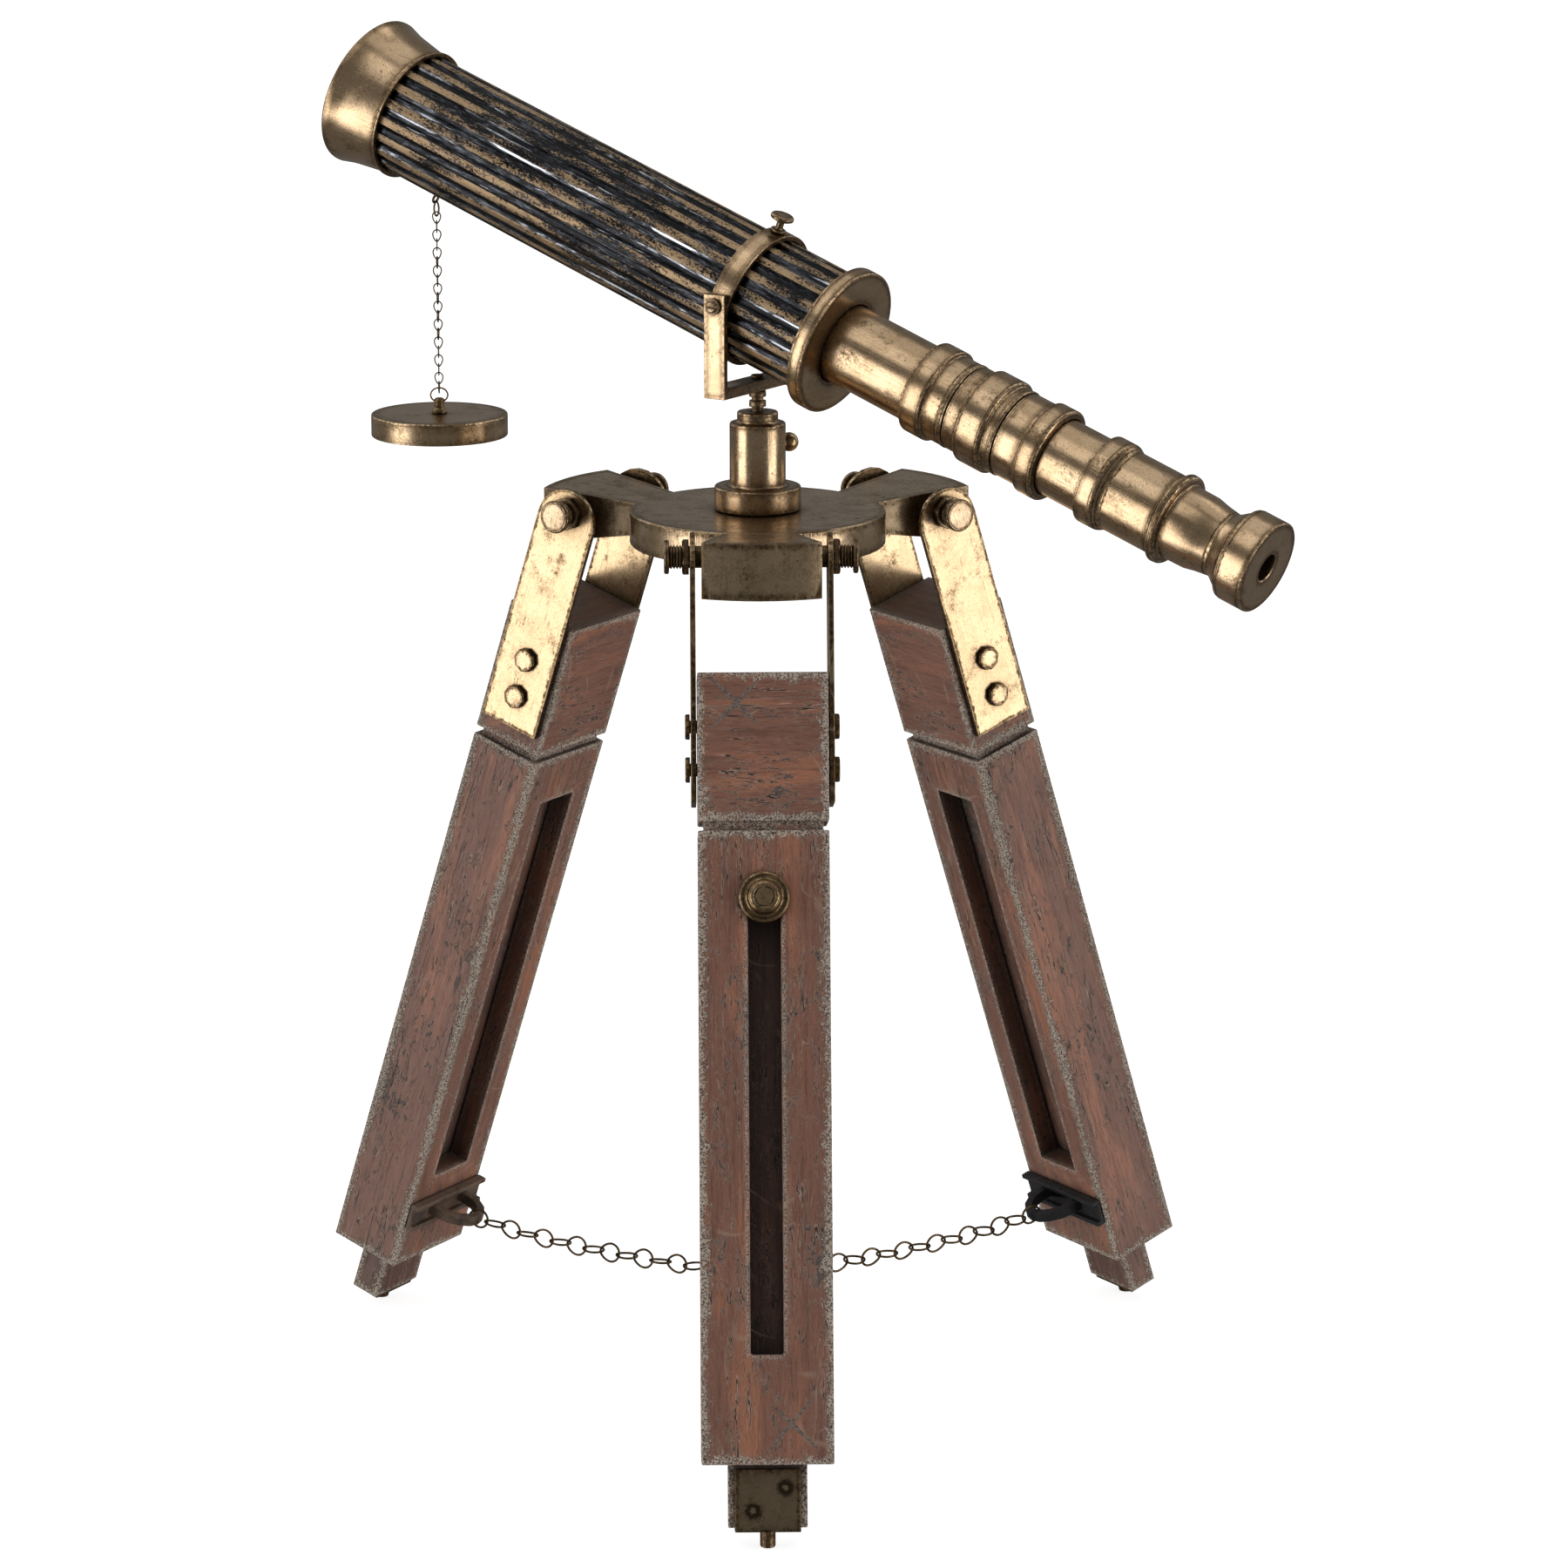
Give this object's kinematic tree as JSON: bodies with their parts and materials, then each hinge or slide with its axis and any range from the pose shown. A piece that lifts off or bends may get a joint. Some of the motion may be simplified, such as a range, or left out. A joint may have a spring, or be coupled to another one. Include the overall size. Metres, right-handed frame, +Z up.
{
  "type": "tripod telescope",
  "caption": "Brass refracting telescope with fluted tube and ringed draws, on a panning and tilting fork above a folding wooden tripod with sliding legs.",
  "frame": {"origin": "floor level under the middle of the object's outline", "axes": "+Z up; -Y towards the front leg; the telescope's objective points to the left and back, -X +Y, and the eyepiece to +X -Y"},
  "size_m": [0.302, 0.2632, 0.4356],
  "materials": {
    "brass": "aged satin brass, worn bright, dark in corners",
    "dark_brass": "dark patinated brass",
    "fluted": "black paint worn to brass on the ribs",
    "wood": "worn reddish-brown stain, chipped pale edges",
    "dark_wood": "dark stained wood",
    "bronze": "dark tarnished bronze",
    "rusty_iron": "brown rusty iron",
    "black_iron": "blackened iron",
    "chain_brass": "blackened brass wire",
    "glass": "clear glass"
  },
  "bodies": {
    "stand": {"tripod_head": "brass", "column": "brass", "centre_ring": "chain_brass", "pivot_bolt_front": "dark_brass", "pivot_bolt_right": "dark_brass", "pivot_bolt_left": "dark_brass"},
    "column_knob": {"column_knob": "dark_brass"},
    "fork": {"pan_stem": "dark_brass", "yoke": "brass", "pivot_screw_left": "dark_brass", "pivot_screw_right": "dark_brass"},
    "barrel": {"main_tube": "fluted", "objective_bell": "brass", "objective_lens": "glass", "end_flange": "brass", "clamp_band": "brass", "chain_eyelet": "dark_brass"},
    "band_thumbscrew": {"band_thumbscrew": "brass"},
    "draw": {"draw_tube": "brass", "draw_socket": "brass", "erector_lens": "glass", "erector_cell": "brass", "focus_socket": "brass"},
    "eyepiece": {"eyepiece_tube": "brass", "grip_ring": "brass", "eyecup": "brass", "eye_lens": "glass"},
    "cap_chain": {"cap_chain": "chain_brass"},
    "cap": {"lens_cap": "brass", "cap_post": "dark_brass"},
    "leg_front": {"leg_front": "wood", "strap_front_a": "brass", "strap_front_b": "brass", "strap_bolt_front_upper": "dark_brass", "strap_bolt_front_lower": "dark_brass", "bracket_front": "black_iron", "leg_chain_front": "chain_brass"},
    "board_front": {"extension_front": "dark_wood", "foot_shoe_front": "bronze"},
    "clamp_knob_front": {"clamp_knob_front": "dark_brass"},
    "leg_right": {"leg_right": "wood", "strap_right_a": "brass", "strap_right_b": "brass", "strap_bolt_right_upper": "dark_brass", "strap_bolt_right_lower": "dark_brass", "bracket_right": "black_iron", "leg_chain_right": "chain_brass"},
    "board_right": {"extension_right": "dark_wood", "foot_shoe_right": "bronze"},
    "clamp_knob_right": {"clamp_knob_right": "dark_brass"},
    "leg_left": {"leg_left": "wood", "strap_left_a": "brass", "strap_left_b": "brass", "strap_bolt_left_upper": "dark_brass", "strap_bolt_left_lower": "dark_brass", "bracket_left": "rusty_iron", "leg_chain_left": "chain_brass"},
    "board_left": {"extension_left": "dark_wood", "foot_shoe_left": "bronze"},
    "clamp_knob_left": {"clamp_knob_left": "dark_brass"}
  },
  "joints": [
    {"name": "pan", "type": "hinge", "parent": "stand", "child": "fork", "pos_m": [-0.00864, 0.02553, 0.31368], "axis": [0, 0, 1], "continuous": true},
    {"name": "column_knob_turn", "type": "hinge", "parent": "stand", "child": "column_knob", "pos_m": [-0.00864, 0.02553, 0.30988], "axis": [0.788, 0.6157, 0], "range_deg": [0, 360]},
    {"name": "tilt", "type": "hinge", "parent": "fork", "child": "barrel", "pos_m": [-0.00864, 0.02553, 0.35758], "axis": [0.5661, 0.8243, 0], "range_deg": [-30, 8]},
    {"name": "band_thumbscrew_turn", "type": "hinge", "parent": "barrel", "child": "band_thumbscrew", "pos_m": [-0.00187, 0.02089, 0.38013], "axis": [0.2819, -0.1936, 0.9397], "range_deg": [0, 360]},
    {"name": "draw_slide", "type": "slide", "parent": "barrel", "child": "draw", "axis": [0.7746, -0.532, -0.342], "range_m": [-0.0315, 0]},
    {"name": "focus_slide", "type": "slide", "parent": "draw", "child": "eyepiece", "axis": [0.7746, -0.532, -0.342], "range_m": [-0.015, 0.006]},
    {"name": "cap_chain_swing", "type": "hinge", "parent": "barrel", "child": "cap_chain", "pos_m": [-0.11188, 0.09643, 0.37909], "axis": [0.5661, 0.8243, 0], "range_deg": [-8, 30]},
    {"name": "cap_rock", "type": "hinge", "parent": "cap_chain", "child": "cap", "pos_m": [-0.11168, 0.0963, 0.31662], "axis": [0.5661, 0.8243, 0], "range_deg": [-20, 20]},
    {"name": "leg_front_fold", "type": "hinge", "parent": "stand", "child": "leg_front", "pos_m": [-0.00864, -0.03231, 0.286], "axis": [1, 0, 0], "range_deg": [0, 18], "deforming": ["leg_chain_front"]},
    {"name": "board_front_slide", "type": "slide", "parent": "leg_front", "child": "board_front", "axis": [0, -0.3147, -0.9492], "range_m": [0, 0.13]},
    {"name": "clamp_knob_front_turn", "type": "hinge", "parent": "board_front", "child": "clamp_knob_front", "pos_m": [-0.00864, -0.07879, 0.19028], "axis": [0, -0.9492, 0.3147], "range_deg": [0, 360]},
    {"name": "leg_right_fold", "type": "hinge", "parent": "stand", "child": "leg_right", "pos_m": [0.03984, 0.05708, 0.286], "axis": [-0.5454, 0.8382, 0], "range_deg": [0, 18], "deforming": ["leg_chain_right"]},
    {"name": "board_right_slide", "type": "slide", "parent": "leg_right", "child": "board_right", "axis": [0.2637, 0.1716, -0.9492], "range_m": [0, 0.13]},
    {"name": "clamp_knob_right_turn", "type": "hinge", "parent": "board_right", "child": "clamp_knob_right", "pos_m": [0.0788, 0.08242, 0.19028], "axis": [0.7956, 0.5177, 0.3147], "range_deg": [0, 360]},
    {"name": "leg_left_fold", "type": "hinge", "parent": "stand", "child": "leg_left", "pos_m": [-0.05712, 0.05708, 0.286], "axis": [-0.5454, -0.8382, 0], "range_deg": [0, 18], "deforming": ["leg_chain_left"]},
    {"name": "board_left_slide", "type": "slide", "parent": "leg_left", "child": "board_left", "axis": [-0.2637, 0.1716, -0.9492], "range_m": [0, 0.13]},
    {"name": "clamp_knob_left_turn", "type": "hinge", "parent": "board_left", "child": "clamp_knob_left", "pos_m": [-0.09608, 0.08242, 0.19028], "axis": [-0.7956, 0.5177, 0.3147], "range_deg": [0, 360]}
  ],
  "couplings": [
    {"joint": "cap_chain_swing", "follows": "tilt", "ratio": -1}
  ]
}
